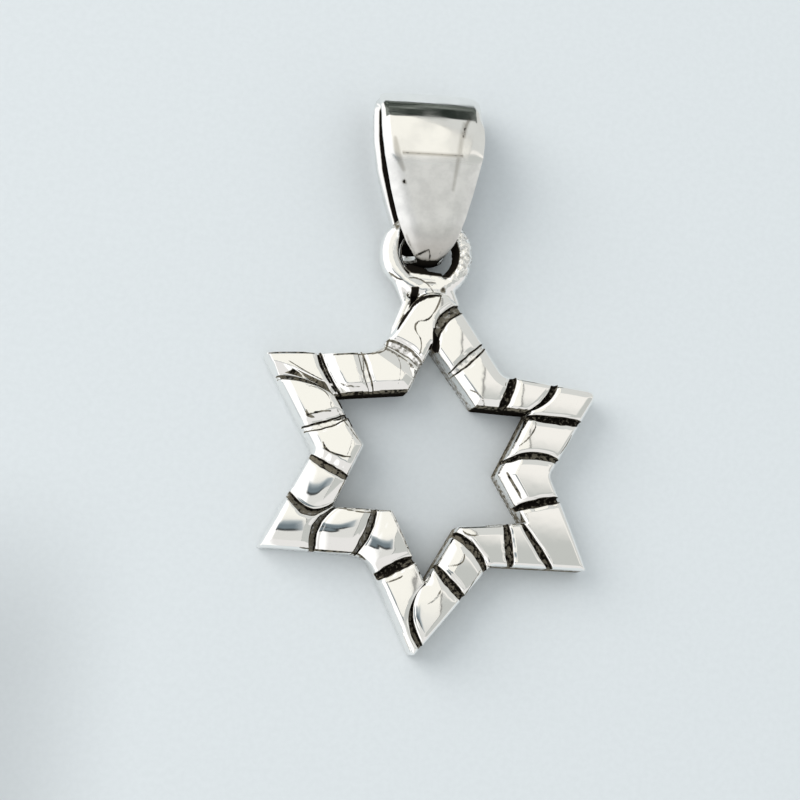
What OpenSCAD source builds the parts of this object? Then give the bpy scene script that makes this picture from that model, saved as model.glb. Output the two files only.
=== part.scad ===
// Open six-pointed star pendant in silver, lying on its back.
// A grooved star band carries a ring soldered to its top tip, and a tapered bail is folded through the ring.
// The star is drawn round its own middle with the top tip towards +Y, and the outline is centred last.

/* [Star band] */
// Distance from the star's middle to its six tips
tip_r = 9.4; // [9:0.1:9.8]
// Distance from the star's middle to the notches between the tips
notch_r = 5.75; // [5.6:0.05:6]
// Distance from the star's middle to the six corners of the opening
hole_tip_r = 5.65; // [5.4:0.05:5.8]
// Distance from the star's middle to the points that reach into the opening
hole_notch_r = 3.4; // [3.2:0.05:3.5]
// Height of the band at its crown
band_h = 1.9; // [1.6:0.05:2.2]
// Drop from the crown to the band's two edges
edge_drop = 0.45; // [0.2:0.05:0.6]
// Bevel round the edges of the flat back
back_bevel = 0.12; // [0.05:0.01:0.2]

/* [Grooves] */
// Depth of a full groove under the band's surface
groove_depth = 0.4; // [0.2:0.05:0.6]
// Share of a groove's width that is flat floor
groove_floor = 0.5; // [0.3:0.05:0.7]
// Drop of each polished segment towards the grooves beside it
pillow_drop = 0.1; // [0:0.01:0.2]

/* [Ring] */
// Radius of the ring's centre line
ring_r = 1.78; // [1.75:0.01:1.85]
// Radius of the ring's wire
ring_wire_r = 0.5; // [0.4:0.01:0.5]
// Sideways place of the ring, which is soldered a little off the star's axis
ring_x = -0.98; // [-1.1:0.01:-0.9]
// Distance from the star's middle to the ring's centre
ring_y = 10.45; // [10.3:0.01:10.5]
// Height of the ring's centre over the surface
ring_z = 1.25; // [1.18:0.01:1.3]
// Radius of the solder lobe under the ring's left side
lobe_r = 0.36; // [0.25:0.01:0.4]
// Radius of the solder that fills the bottom of the ring's hole
fill_r = 0.35; // [0.2:0.01:0.4]

/* [Bail] */
// Length of the bail from the fold to the closed end
bail_l = 8.8; // [8.5:0.05:9.1]
// Depth of the bail at the fold
bail_depth = 3.5; // [3.3:0.05:3.8]
// Depth of the bail over the ring
bail_neck_depth = 2.4; // [2.4:0.05:2.6]
// Width of the strap at the fold
bail_w = 5.15; // [4.8:0.05:5.4]
// Thickness of the strap
strap_t = 0.5; // [0.4:0.01:0.52]
// Width of the bevel along each side of the strap's face
strap_bevel_w = 0.45; // [0.2:0.05:0.5]
// Depth of that bevel
strap_bevel_t = 0.22; // [0.1:0.01:0.3]
// Turn of the bail against the star's axis, in degrees
bail_turn = 5; // [2:0.5:6]
// Distance from the star's middle to the bail's closed end
bail_y = 9.92; // [9.88:0.01:9.96]

/* [Hidden] */
SILVER = [0.86, 0.86, 0.84];
corner_count = 12;
$fn = 64;

// Corners clockwise from the top tip, as small departures from a regular star.
// Columns: outer corner further out, outer corner turned clockwise, opening's corner further out,
// opening's corner turned clockwise, share of the sides that rounds the outer corner, bow of the mitre
CORNERS = [
    [ 0.32, -3.2,  0.20, -4.0, 0.47, 0.00],
    [ 0.05,  5.0,  0.20,  4.0, 0.06, 0.00],
    [ 0.05,  1.5,  0.00, -2.5, 0.13, 0.00],
    [ 0.30, -0.5,  0.00,  3.5, 0.05, 0.00],
    [ 0.00, -1.5, -0.10, -3.5, 0.02, 0.00],
    [ 0.05, -5.5,  0.00,  0.5, 0.05, 0.00],
    [ 0.05,  0.5,  0.25, -2.0, 0.04, 0.85],
    [-0.25, -1.0, -0.35,  4.0, 0.16, 0.00],
    [ 0.00, -1.5, -0.35,  0.0, 0.03, 0.00],
    [ 0.00,  0.0,  0.00,  8.5, 0.06, 0.00],
    [ 0.30, -2.5,  0.05, -1.0, 0.02, 0.00],
    [ 0.23, -0.4,  0.25,  8.0, 0.15, 0.00]
];

// Grooves clockwise from the top tip. A place is the number of the bar, and the share of its length.
// Columns: place on the outer edge, place on the inner edge, width there, width here,
// share of the full depth, bow towards the next corner
GROOVES = [
    [ 0.38,  0.08, 0.75, 0.35, 0.70, -0.40],
    [ 0.72,  0.46, 0.50, 0.50, 0.50,  0.00],
    [ 1.10,  1.47, 0.45, 0.55, 1.00,  0.05],
    [ 1.53,  1.94, 0.50, 0.25, 1.00,  0.25],
    [ 2.39,  2.08, 0.55, 0.40, 1.00,  0.00],
    [ 2.85,  2.80, 0.45, 0.45, 0.90, -0.30],
    [ 3.26,  3.70, 0.50, 0.45, 1.00, -0.05],
    [ 4.39,  4.06, 0.55, 0.30, 0.90,  0.00],
    [ 4.80,  4.30, 0.45, 0.40, 0.90,  0.00],
    [ 5.07,  5.15, 0.45, 0.45, 0.90, -0.25],
    [ 5.36,  5.70, 0.55, 0.40, 1.00,  0.05],
    [ 5.90,  5.93, 0.50, 0.30, 0.90,  0.68],
    [ 6.79,  6.33, 0.60, 0.55, 1.00,  0.05],
    [ 7.13,  7.31, 0.45, 0.45, 0.80, -0.15],
    [ 7.51,  7.93, 0.55, 0.30, 0.90,  0.25],
    [ 8.54,  8.07, 0.60, 0.35, 0.90, -0.35],
    [ 8.93,  8.46, 0.45, 0.45, 0.60, -0.05],
    [ 9.21,  9.58, 0.50, 0.40, 0.60, -0.10],
    [ 9.74,  9.93, 0.50, 0.25, 0.60,  0.30],
    [10.46, 10.07, 0.45, 0.25, 0.80, -0.15],
    [10.82, 10.49, 0.40, 0.40, 0.40,  0.00],
    [11.12, 11.55, 0.50, 0.45, 0.50,  0.15]
];

// Shares of the band's width at which its section has a point
ACROSS = [0, 0.08, 0.22, 0.5, 0.78, 0.92, 1];
// Largest share of a bar between two sections of the band
station_gap = 0.2;
// Sharpness of the step from the crown to the edges
crown_power = 3;

// Side view of the bail's outer face, from the closed end along the back to the fold and down the front.
// Columns: share of the length, share of the depth, share of the sides that rounds the corner
BAIL_SIDE = [
    [0.00, 0.00, 0.48],
    [0.23, 0.00, 0.20],
    [0.76, 0.00, 0.20],
    [1.00, 0.06, 0.48],
    [1.00, 0.60, 0.45],
    [0.675, 1.035, 0.45],
    [0.38, bail_neck_depth / bail_depth + 0.17, 0.30],
    [0.00, bail_neck_depth / bail_depth - 0.03, 0.45]
];
// Half width of the bail from the closed end to the fold.
// Columns: share of the length, share of the half width
BAIL_TAPER = [
    [0.00, 0.20],
    [0.024, 0.29],
    [0.085, 0.42],
    [0.237, 0.62],
    [0.38, 0.76],
    [0.57, 0.91],
    [0.76, 0.98],
    [0.94, 0.99],
    [0.985, 0.96],
    [1.00, 0.91]
];
// Sections along each side of the bail's side view
bail_steps = 7;
// Rise of the strap's middle over the edges of its face
strap_dome = 0.05;

function lerp(a, b, share) = a + (b - a) * share;

// Point at a place along a closed outline of straight sides
function side_at(outline, place) =
    let(count = len(outline), from = floor(place))
    lerp(outline[(from + count) % count], outline[(from + 1 + count) % count], place - from);

// The same outline with each corner rounded over the given share of its two sides
function rounded_at(outline, soft, place) =
    let(
        corner = round(place),
        share = soft[(corner + len(outline)) % len(outline)],
        turn = (place - corner + share) / (2 * share),
        tip = side_at(outline, corner)
    )
    abs(place - corner) < share
        ? lerp(
            lerp(side_at(outline, corner - share), tip, turn),
            lerp(tip, side_at(outline, corner + share), turn),
            turn)
        : side_at(outline, place);

function polar(r, clockwise) = r * [sin(clockwise), cos(clockwise)];
function is_tip(i) = i % 2 == 0;

OUTER = [for (i = [0 : corner_count - 1])
    polar((is_tip(i) ? tip_r : notch_r) + CORNERS[i][0], i * 360 / corner_count + CORNERS[i][1])];
INNER = [for (i = [0 : corner_count - 1])
    polar((is_tip(i) ? hole_tip_r : hole_notch_r) + CORNERS[i][2], i * 360 / corner_count + CORNERS[i][3])];
OUTER_SOFT = [for (row = CORNERS) row[4]];
INNER_SOFT = [for (row = CORNERS) 0.03];

function bar_length(outline, bar) = norm(side_at(outline, bar + 1) - side_at(outline, bar));

// A section of the band: place on the outer edge, place on the inner edge, bow, and drop of its surface
function corner_section(i) = [i, i, CORNERS[i][5], 0];
function groove_sections(groove) =
    let(
        bar = floor(groove[0]),
        outer_half = groove[2] / 2 / bar_length(OUTER, bar),
        inner_half = groove[3] / 2 / bar_length(INNER, bar),
        floor_drop = groove[4] * groove_depth
    )
    [for (step = [[-1, pillow_drop], [-groove_floor, floor_drop], [groove_floor, floor_drop], [1, pillow_drop]])
        [groove[0] + step[0] * outer_half, groove[1] + step[0] * inner_half, groove[5], step[1]]];

CUT_SECTIONS = [for (bar = [0 : corner_count - 1]) each concat(
    [corner_section(bar)],
    [for (groove = GROOVES) if (floor(groove[0]) == bar) each groove_sections(groove)])];

// Sections at full height between two that lie far apart
function filled(a, b) =
    let(parts = ceil(max(b[0] - a[0], b[1] - a[1]) / station_gap))
    [for (k = [1 : 1 : parts - 1]) [for (c = [0 : 2]) lerp(a[c], b[c], k / parts)]];

LAST = len(CUT_SECTIONS) - 1;
CLOSING = CUT_SECTIONS[0] + [corner_count, corner_count, 0, 0];
SECTIONS = [for (k = [0 : LAST]) each concat(
    [CUT_SECTIONS[k]],
    [for (s = filled(CUT_SECTIONS[k], k == LAST ? CLOSING : CUT_SECTIONS[k + 1])) concat(s, 0)])];

function band_point(section, share, z) =
    let(
        start = rounded_at(OUTER, OUTER_SOFT, section[0]),
        across = rounded_at(INNER, INNER_SOFT, section[1]) - start,
        along = [-across.y, across.x] / norm(across),
        flat = start + across * share + along * section[2] * 4 * share * (1 - share)
    )
    [flat.x, flat.y, z];

function crown_z(share) = band_h - edge_drop * pow(abs(2 * share - 1), crown_power);

function band_section(section) =
    let(bevel_share = back_bevel / norm(side_at(INNER, section[1]) - side_at(OUTER, section[0])))
    concat(
        [band_point(section, 0, back_bevel)],
        [for (share = ACROSS) band_point(section, share, crown_z(share) - section[3])],
        [band_point(section, 1, back_bevel)],
        [band_point(section, 1 - bevel_share, 0)],
        [band_point(section, bevel_share, 0)]);

BAIL_CORNERS = [for (row = BAIL_SIDE) [row[0] * bail_l, row[1] * bail_depth]];
BAIL_SOFT = [for (row = BAIL_SIDE) row[2]];
BAIL_SHARES = [for (row = BAIL_TAPER) [row[0] * bail_l, row[1] * bail_w / 2]];

function bail_half_width(y) = lookup(max(0, min(bail_l, y)), BAIL_SHARES);

// Section of the strap at a place along its side view: back face, bevels and domed front face
function strap_section(place) =
    let(
        here = rounded_at(BAIL_CORNERS, BAIL_SOFT, place),
        ahead = rounded_at(BAIL_CORNERS, BAIL_SOFT, place + 0.01),
        behind = rounded_at(BAIL_CORNERS, BAIL_SOFT, place - 0.01),
        along = (ahead - behind) / norm(ahead - behind),
        inward = [-along.y, along.x],
        half = bail_half_width(here.x),
        face_half = max(half - strap_bevel_w, half / 3)
    )
    [for (row = [
            [-half, strap_t], [half, strap_t], [half, strap_bevel_t], [face_half, 0],
            [0, -strap_dome], [-face_half, 0], [-half, strap_bevel_t]])
        let(at = here + inward * row[1])
        [row[0], at.x, at.y]];

STRAP_SECTIONS = [for (k = [0 : len(BAIL_SIDE) * bail_steps - 1]) strap_section(k / bail_steps)];
STAR_SECTIONS = [for (s = SECTIONS) band_section(s)];

// Middle of the whole outline, which becomes the origin
function turned(p) = [p.x * cos(bail_turn) - p.y * sin(bail_turn), p.x * sin(bail_turn) + p.y * cos(bail_turn)];
OUTLINE = concat(
    [for (s = STAR_SECTIONS) [s[0].x, s[0].y]],
    [for (s = STRAP_SECTIONS) each [for (p = s) turned(p) + [ring_x, bail_y]]]);
OUTLINE_X = [for (p = OUTLINE) p.x];
OUTLINE_Y = [for (p = OUTLINE) p.y];
middle = [(min(OUTLINE_X) + max(OUTLINE_X)) / 2, (min(OUTLINE_Y) + max(OUTLINE_Y)) / 2, 0];

// Closed tube through a loop of sections that all have the same number of points
module closed_loft(sections) {
    count = len(sections);
    sides = len(sections[0]);
    polyhedron(
        points = [for (s = sections) each s],
        faces = [for (k = [0 : count - 1], j = [0 : sides - 1])
            let(
                a = k * sides + j,
                b = k * sides + (j + 1) % sides,
                c = (k + 1) % count * sides + (j + 1) % sides,
                d = (k + 1) % count * sides + j
            )
            each [[a, c, b], [a, d, c]]],
        convexity = 12);
}

module ring() {
    translate([ring_x, ring_y, ring_z])
        rotate_extrude()
            translate([ring_r, 0])
                circle(r = ring_wire_r);
}

// Solder between the ring and the tip: a lobe on the left that tapers down to the tip's shoulder,
// a low web beside it, and a fill along the bottom of the ring's hole
module solder() {
    translate([ring_x, ring_y, ring_z]) {
        translate([-1, -1.8, 0]) {
            sphere(r = lobe_r);
            rotate([90, 0, 22])
                cylinder(h = 1, r1 = lobe_r, r2 = lobe_r / 2);
        }
        translate([-0.42, -2.1, -0.6])
            cylinder(h = 0.35, r = 0.45);
        translate([-0.75, -1.34, 0])
            rotate([0, 90, 0])
                cylinder(h = 1.5, r = fill_r);
    }
}

module star() {
    color(SILVER)
        translate(-middle)
            union() {
                closed_loft(STAR_SECTIONS);
                ring();
                solder();
            }
}

module bail() {
    color(SILVER)
        translate(-middle)
            translate([ring_x, bail_y, strap_dome])
                rotate(bail_turn)
                    closed_loft(STRAP_SECTIONS);
}

star();
bail();
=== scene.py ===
"""Open six-pointed star pendant in polished silver with blackened grooves, lying on pale paper."""

import math

import bpy
import numpy as np
from bpy.props import FloatProperty, FloatVectorProperty, IntProperty, PointerProperty
from mathutils import Matrix, Vector
from mathutils.noise import fractal


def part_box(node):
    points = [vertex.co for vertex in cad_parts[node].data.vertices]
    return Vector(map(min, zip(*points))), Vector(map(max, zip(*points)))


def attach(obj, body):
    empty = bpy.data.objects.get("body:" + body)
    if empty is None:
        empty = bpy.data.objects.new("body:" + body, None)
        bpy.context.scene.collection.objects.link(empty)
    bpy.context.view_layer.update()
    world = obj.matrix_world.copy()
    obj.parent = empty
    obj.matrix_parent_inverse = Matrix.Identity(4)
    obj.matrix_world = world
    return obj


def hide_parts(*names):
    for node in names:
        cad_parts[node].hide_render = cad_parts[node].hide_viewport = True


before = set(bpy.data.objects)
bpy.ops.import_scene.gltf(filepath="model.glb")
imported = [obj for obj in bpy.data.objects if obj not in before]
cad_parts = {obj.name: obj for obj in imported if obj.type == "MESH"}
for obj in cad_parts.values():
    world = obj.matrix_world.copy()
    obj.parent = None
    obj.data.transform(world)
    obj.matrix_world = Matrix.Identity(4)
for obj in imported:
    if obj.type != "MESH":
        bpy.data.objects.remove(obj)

bl_info = {
    "name": "Star Pendant",
    "version": (1, 0, 0),
    "blender": (4, 5, 0),
    "location": "View3D > Sidebar > Pendant",
    "description": "Builds a grooved silver star with its ring and bail on a paper floor",
    "category": "Object",
}

MM = 0.001
CORNER_COUNT = 12
SENSOR_W = 36
PHOTO_SIDE = 800

# Corners clockwise from the top tip, as small departures from a regular star, in mm and degrees.
# Columns: outer corner further out, outer corner turned clockwise, opening's corner further out,
# opening's corner turned clockwise, share of the sides that rounds the outer corner, bow of the line
# between the two corners
CORNERS = np.array([
    [0.32, -3.2, 0.20, -4.0, 0.47, 0.00],
    [0.05, 5.0, 0.20, 4.0, 0.06, 0.00],
    [0.05, 1.5, 0.00, -2.5, 0.13, 0.00],
    [0.30, -0.5, 0.00, 3.5, 0.05, 0.00],
    [0.00, -1.5, -0.10, -3.5, 0.02, 0.00],
    [0.05, -5.5, 0.00, 0.5, 0.05, 0.00],
    [0.05, 0.5, 0.25, -2.0, 0.04, 0.85],
    [-0.25, -1.0, -0.35, 4.0, 0.16, 0.00],
    [0.00, -1.5, -0.35, 0.0, 0.03, 0.00],
    [0.00, 0.0, 0.00, 8.5, 0.06, 0.00],
    [0.30, -2.5, 0.05, -1.0, 0.02, 0.00],
    [0.23, -0.4, 0.25, 8.0, 0.15, 0.00],
])

# Grooves clockwise from the top tip. A place is the number of the bar, and the share of its length.
# Columns: place on the outer edge, place on the inner edge, width there, width here,
# share of the full depth, bow towards the next corner, blackness of the floor, blackness of the lips
GROOVES = np.array([
    [0.36, 0.06, 0.90, 0.45, 0.70, -0.44, 0.62, 1.0],
    [0.72, 0.46, 0.50, 0.50, 0.50, 0.00, 0.30, 1.0],
    [1.10, 1.47, 0.45, 0.55, 1.00, 0.05, 1.00, 1.0],
    [1.53, 1.94, 0.50, 0.25, 1.00, 0.25, 1.00, 1.0],
    [2.39, 2.08, 0.55, 0.40, 1.00, 0.00, 1.00, 1.0],
    [2.85, 2.80, 0.45, 0.45, 0.90, -0.30, 0.88, 1.0],
    [3.26, 3.70, 0.50, 0.45, 1.00, -0.05, 1.00, 1.0],
    [4.39, 4.06, 0.55, 0.30, 0.90, 0.00, 0.86, 1.0],
    [4.80, 4.30, 0.45, 0.40, 0.90, 0.00, 0.80, 1.0],
    [5.07, 5.15, 0.45, 0.45, 0.90, -0.25, 0.76, 1.0],
    [5.36, 5.70, 0.55, 0.40, 1.00, 0.05, 0.88, 1.0],
    [5.90, 5.93, 0.50, 0.30, 0.90, 0.68, 0.84, 1.0],
    [6.79, 6.33, 0.60, 0.55, 1.00, 0.05, 1.00, 1.0],
    [7.13, 7.31, 0.45, 0.45, 0.80, -0.15, 0.55, 1.0],
    [7.51, 7.93, 0.55, 0.30, 0.90, 0.45, 0.62, 1.0],
    [8.54, 8.07, 0.60, 0.35, 0.90, -0.70, 0.62, 1.0],
    [8.93, 8.46, 0.45, 0.45, 0.60, -0.05, 0.70, 1.0],
    [9.21, 9.58, 0.50, 0.40, 0.60, -0.10, 0.30, 1.0],
    [9.74, 9.93, 0.40, 0.20, 0.60, 0.30, 0.35, 0.8],
    [10.46, 10.07, 0.45, 0.25, 0.80, -0.15, 0.25, 1.0],
    [10.82, 10.49, 0.40, 0.40, 0.40, 0.00, 0.10, 0.8],
    [11.12, 11.55, 0.50, 0.45, 0.50, 0.15, 0.40, 0.6],
])

# Hand polish of each segment, from the groove in the same row of the table above to the next one.
# Columns: slope towards +X, slope towards +Y, curvature per mm, width of the rolled border at the
# outer edge, at the inner edge, at the groove it starts from, at the groove it ends at, its softness,
# slope that it reaches
POLISH = np.array([
    [-0.025, 0.00, 0.05, 0.60, 0.22, 0.15, 0.10, 1.15, 0.60],
    [-0.020, 0.00, 0.05, 0.60, 0.45, 0.15, 0.15, 1.12, 0.60],
    [-0.030, 0.00, 0.06, 0.25, 0.20, 0.20, 0.20, 1.20, 0.60],
    [-0.050, 0.00, 0.04, 0.40, 0.25, 0.20, 0.15, 1.50, 0.60],
    [-0.035, 0.00, 0.04, 0.20, 0.30, 0.15, 0.15, 1.15, 0.60],
    [-0.050, 0.00, 0.03, 0.20, 0.75, 0.15, 0.15, 1.12, 0.60],
    [-0.055, 0.00, 0.03, 0.25, 0.15, 0.15, 0.15, 1.50, 0.60],
    [-0.050, 0.00, 0.04, 0.20, 0.15, 0.12, 0.12, 1.30, 0.60],
    [-0.050, 0.00, 0.05, 0.20, 0.50, 0.15, 0.25, 1.60, 0.60],
    [-0.050, 0.00, 0.05, 0.25, 0.90, 0.30, 0.25, 1.80, 0.60],
    [-0.020, 0.00, 0.05, 0.30, 0.90, 0.30, 0.35, 2.00, 0.45],
    [-0.020, 0.00, 0.03, 0.25, 0.15, 0.15, 0.15, 1.30, 0.60],
    [-0.040, 0.05, 0.08, 1.60, 0.20, 0.50, 1.60, 2.00, 0.28],
    [-0.010, 0.04, 0.06, 2.20, 0.15, 0.30, 1.60, 2.00, 0.27],
    [0.000, 0.09, 0.17, 0.35, 0.20, 0.30, 0.15, 1.50, 0.40],
    [0.030, 0.00, 0.02, 1.40, 0.60, 2.40, 0.15, 2.00, 0.25],
    [0.010, 0.00, 0.06, 0.45, 0.35, 0.45, 0.15, 1.30, 0.60],
    [0.010, 0.00, 0.06, 0.45, 0.30, 0.45, 0.15, 1.35, 0.60],
    [0.020, 0.02, 0.03, 0.15, 0.20, 0.75, 0.15, 1.12, 0.60],
    [0.000, 0.00, 0.06, 0.12, 0.55, 0.55, 0.15, 1.25, 0.60],
    [0.000, 0.00, 0.06, 0.12, 0.55, 0.15, 0.70, 1.20, 0.60],
    [0.000, 0.00, 0.04, 0.25, 0.25, 0.20, 0.20, 1.12, 0.60],
])

# Thin dark seams between the facets and at the ring's foot, each on a curve through three spots of the
# photo: partly oxide, partly painted dark reflections of the edges and painted shade in the crevices.
# Columns: start across, start down, middle across, middle down, end across, end down, all in picture
# points of its 800 by 800 frame, then half width in mm and blackness
SEAMS = np.array([
    [411, 308, 424, 298, 441, 296, 0.075, 1.4],
    [412, 308, 405, 317, 398, 329, 0.050, 1.4],
    [441, 295, 438, 305, 432, 315, 0.035, 0.8],
    [432, 315, 427, 320, 420, 321, 0.035, 0.9],
    [420, 321, 415, 326, 417, 334, 0.035, 0.8],
    [417, 334, 421, 343, 419, 356, 0.022, 0.7],
    [434, 329, 436, 342, 437, 354, 0.150, 1.4],
    [441, 588, 436, 598, 427, 604, 0.050, 0.5],
    [392, 272, 397, 277, 403, 280, 0.022, 0.9],
    [409, 278, 422, 280, 433, 292, 0.022, 0.8],
    [470, 390, 480, 396, 485, 406, 0.022, 0.8],
    [535, 418, 533, 432, 519, 446, 0.022, 0.8],
    [572, 435, 566, 446, 559, 455, 0.018, 0.7],
    [507, 472, 514, 484, 522, 498, 0.050, 0.9],
    [464, 554, 461, 563, 448, 566, 0.028, 0.9],
    [463, 531, 469, 535, 478, 535, 0.028, 0.8],
    [385, 583, 397, 579, 402, 576, 0.028, 0.8],
    [334, 506, 361, 512, 377, 511, 0.022, 0.8],
    [389, 511, 403, 538, 416, 576, 0.012, 0.5],
    [300, 547, 325, 550, 352, 552, 0.035, 0.8],
    [352, 552, 366, 559, 376, 583, 0.035, 0.8],
    [487, 566, 531, 569, 578, 571, 0.022, 0.8],
    [482, 568, 464, 597, 446, 625, 0.015, 0.7],
    [466, 524, 487, 524, 517, 525, 0.015, 0.6],
    [269, 353, 292, 352, 315, 354, 0.035, 1.0],
    [289, 361, 305, 371, 322, 380, 0.015, 0.8],
    [333, 355, 350, 354, 366, 354, 0.030, 0.9],
    [363, 357, 364, 370, 362, 384, 0.015, 0.7],
    [341, 383, 348, 386, 360, 386, 0.022, 0.8],
    [366, 354, 377, 353, 385, 350, 0.030, 0.9],
    [385, 350, 388, 345, 390, 338, 0.030, 0.9],
    [385, 349, 399, 358, 398, 384, 0.015, 0.6],
    [308, 386, 325, 392, 331, 408, 0.015, 0.7],
    [331, 411, 318, 412, 306, 416, 0.032, 0.9],
    [306, 410, 308, 415, 314, 417, 0.060, 0.9],
    [337, 407, 343, 419, 362, 444, 0.018, 0.7],
    [323, 442, 325, 448, 329, 451, 0.050, 1.0],
    [326, 450, 338, 455, 350, 457, 0.035, 1.0],
    [349, 421, 352, 437, 347, 455, 0.015, 0.6],
])

# The same for the faint seams and dents of the bail's face; the first row is the soft dark wedge at the
# face's left border, which is painted shade
BAIL_SEAMS = np.array([
    [394, 140, 397, 157, 403, 171, 0.090, 0.34],
    [464, 124, 459, 148, 453, 190, 0.060, 0.30],
    [470, 119, 465, 128, 462, 140, 0.030, 0.62],
    [403, 228, 406, 234, 410, 245, 0.050, 0.70],
    [409, 232, 412, 238, 415, 243, 0.030, 0.50],
    [417, 252, 424, 249, 432, 246, 0.030, 0.74],
    [432, 246, 434, 255, 431, 263, 0.025, 0.66],
    [421, 250, 425, 257, 427, 263, 0.020, 0.50],
    [404, 181, 404, 182, 405, 183, 0.040, 0.70],
])

# Blackness of the walls of the opening, which is oxide, and of the outer walls, which is painted dark
# reflection; one row for each bar
WALLS = np.array([
    [0.47, 0.10],
    [1.30, 0.10],
    [0.85, 0.40],
    [0.53, 0.40],
    [0.80, 0.65],
    [0.60, 0.60],
    [0.60, 0.10],
    [0.60, 0.30],
    [0.60, 0.10],
    [0.70, 0.10],
    [1.30, 0.20],
    [0.80, 0.10],
])

# Distances from an edge of the band at which its section has a point, in mm
EDGE_STEPS = np.array([
    0, 0.010, 0.030, 0.055, 0.085, 0.105, 0.125, 0.16, 0.20, 0.25, 0.30, 0.36, 0.43, 0.51])
MIDDLE_STEPS = 26
# Places through a groove, in half widths from its middle
GROOVE_STEPS = np.array([
    -1, -0.93, -0.85, -0.76, -0.66, -0.55, -0.4, -0.2, 0, 0.2, 0.4, 0.55, 0.66, 0.76, 0.85, 0.93, 1])
# Places down a wall at which it has a point, as shares of its height from the top
WALL_STEPS = np.array([0.5, 1.0])
# Longest step between two sections of the band, in mm
SECTION_STEP = 0.07
# Steps round an outline that distances are measured to, and finer ones for its lowest corner
OUTLINE_STEPS, FINE_STEPS = 600, 4800
# Share of the sides that rounds each corner of the opening
HOLE_SOFT = np.full(CORNER_COUNT, 0.03)
# Least height of a wall over the back bevel, in mm
LEAST_WALL = 0.3
# More than any distance on the pendant that is looked for, in mm, or in half widths of a groove
FAR = 9.0
# Share of its half width that a thin seam loses at its ends
SEAM_TAPER = 0.7
# How far the seams lie below the crown of the band, in mm
SEAM_DROP = 0.1
# Black rim on the outer edge beside the ring, partly oxide and partly painted dark reflection: where it
# starts and ends, in bars from the top tip, and its width in mm
RIM_FROM, RIM_TO, RIM_W = -0.42, 0.06, 0.11
# Blackness of such an edge, and the blackness of a wall from which its edge is black too
EDGE_BLACK = 0.9
WALL_LIMIT = 0.9

# Solder round the ring's foot, in mm from the ring's middle: the lobe that runs down the tip's left
# flank, the low web beside it, which the slot's painted shade blackens, the plate under the ring, its
# bridge to the right flank and the web in the hole, a sheet that the hollow blackens as painted shade.
# Columns: start x, y, z, end x, y, z, radius at the start and at the end, in lobe radii
SOLDER = np.array([
    [-1.22, -1.55, 0.00, -0.96, -2.45, -0.05, 1.08, 0.50],
    [-0.80, -2.42, -0.08, -1.26, -3.98, -0.20, 0.64, 0.76],
    [-1.26, -3.90, -0.20, -1.34, -4.35, -0.30, 0.74, 0.50],
    [-0.56, -2.25, -0.50, -0.56, -2.25, -0.25, 1.25, 1.25],
    [0.02, -1.75, 0.12, 0.95, -1.72, 0.12, 1.15, 1.15],
    [0.12, -1.98, 0.16, 1.00, -1.85, 0.14, 0.95, 1.00],
    [-0.02, -2.16, 0.10, 0.60, -2.15, 0.12, 0.85, 0.90],
    [1.00, -1.50, 0.08, 1.64, -2.40, -0.30, 1.15, 0.85],
    [-0.86, -0.80, 0.02, 0.02, -0.92, 0.02, 0.60, 0.60],
])
# Ends of the solder that fills the bottom of the ring's hole
FILL_ENDS = ((-0.72, -1.25, 0), (0.78, -1.25, 0))

# Black marks on the ring, in mm from its middle: painted shade in the hollow inside the wire, in the slot
# in the tip and in the notch beside the plate, and the fleck at the upper left
HOLLOW_INSET, HOLLOW_LEAN, HOLLOW_SOFT, HOLLOW_FOOT = 0.36, 0.2, 0.1, -1.16
SLOT_X, SLOT_Y, SLOT_TILT = -0.50, -2.42, 0.087
SLOT_HALF_W, SLOT_HALF_H, SLOT_SOFT_W, SLOT_SOFT_H = 0.21, 0.66, 0.05, 0.08
NOTCH_X, NOTCH_Y, NOTCH_R = 0.86, -1.80, 0.2
FLECK_X, FLECK_Y, FLECK_W, FLECK_H = -1.55, 1.35, 0.5, 0.55
HOLLOW_BLACK, SLOT_BLACK, FLECK_BLACK = 1.25, 1.3, 0.52
# Oxide on the open silver and on the rough right side, and the blackness of the underside
OPEN_OXIDE, ROUGH_OXIDE, UNDER_BLACKNESS = 0.06, 0.35, 0.5
# Height of that underside, in mm from the ring's middle
UNDER_Z = -0.45
# Grain of the polished and of the cast surface, and how far the left side bulges, in mm
POLISHED_GRAIN, CAST_GRAIN, LEFT_BULGE = 0.004, 0.055, 0.16
# Waves of that grain per mm
GRAIN_SCALE = 2.6
# Height over the ring's middle at which its seams are seen, and their softness, in mm
RING_SEAM_Z, RING_SEAM_SOFT = 0.45, 0.04

# Depth of the bail at its closed end, as a share of its depth at the fold
NECK_SHARE = 2.4 / 3.5
# Side view of the bail's outer face, from the closed end along the back to the fold and down the front.
# Columns: share of the length, share of the depth, share of the sides that rounds the corner
BAIL_SIDE = np.array([
    [0.00, 0.00, 0.48],
    [0.23, 0.00, 0.20],
    [0.76, 0.00, 0.20],
    [1.00, 0.06, 0.48],
    [1.00, 0.60, 0.45],
    [0.675, 1.035, 0.45],
    [0.38, NECK_SHARE + 0.17, 0.30],
    [0.00, NECK_SHARE - 0.03, 0.45],
])
# Sections from one corner of the side view to the next, and the step that reads its direction
SIDE_STEPS = 40
HAIR = 0.01
# Half width of the bail. Columns: share of the length, share of the half width
BAIL_TAPER = np.array([
    [0.00, 0.20],
    [0.024, 0.29],
    [0.085, 0.42],
    [0.237, 0.62],
    [0.38, 0.76],
    [0.57, 0.91],
    [0.76, 0.98],
    [0.94, 0.99],
    [0.985, 0.96],
    [1.00, 0.91],
])
# How much wider the strap is on each side than that taper, at the back's closed end and along the
# face, and how far that end of the back is shifted to the left, in mm
BACK_WIDENING, FACE_WIDENING, BACK_SHIFT = 0.32, 0.13, 0.15
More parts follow.
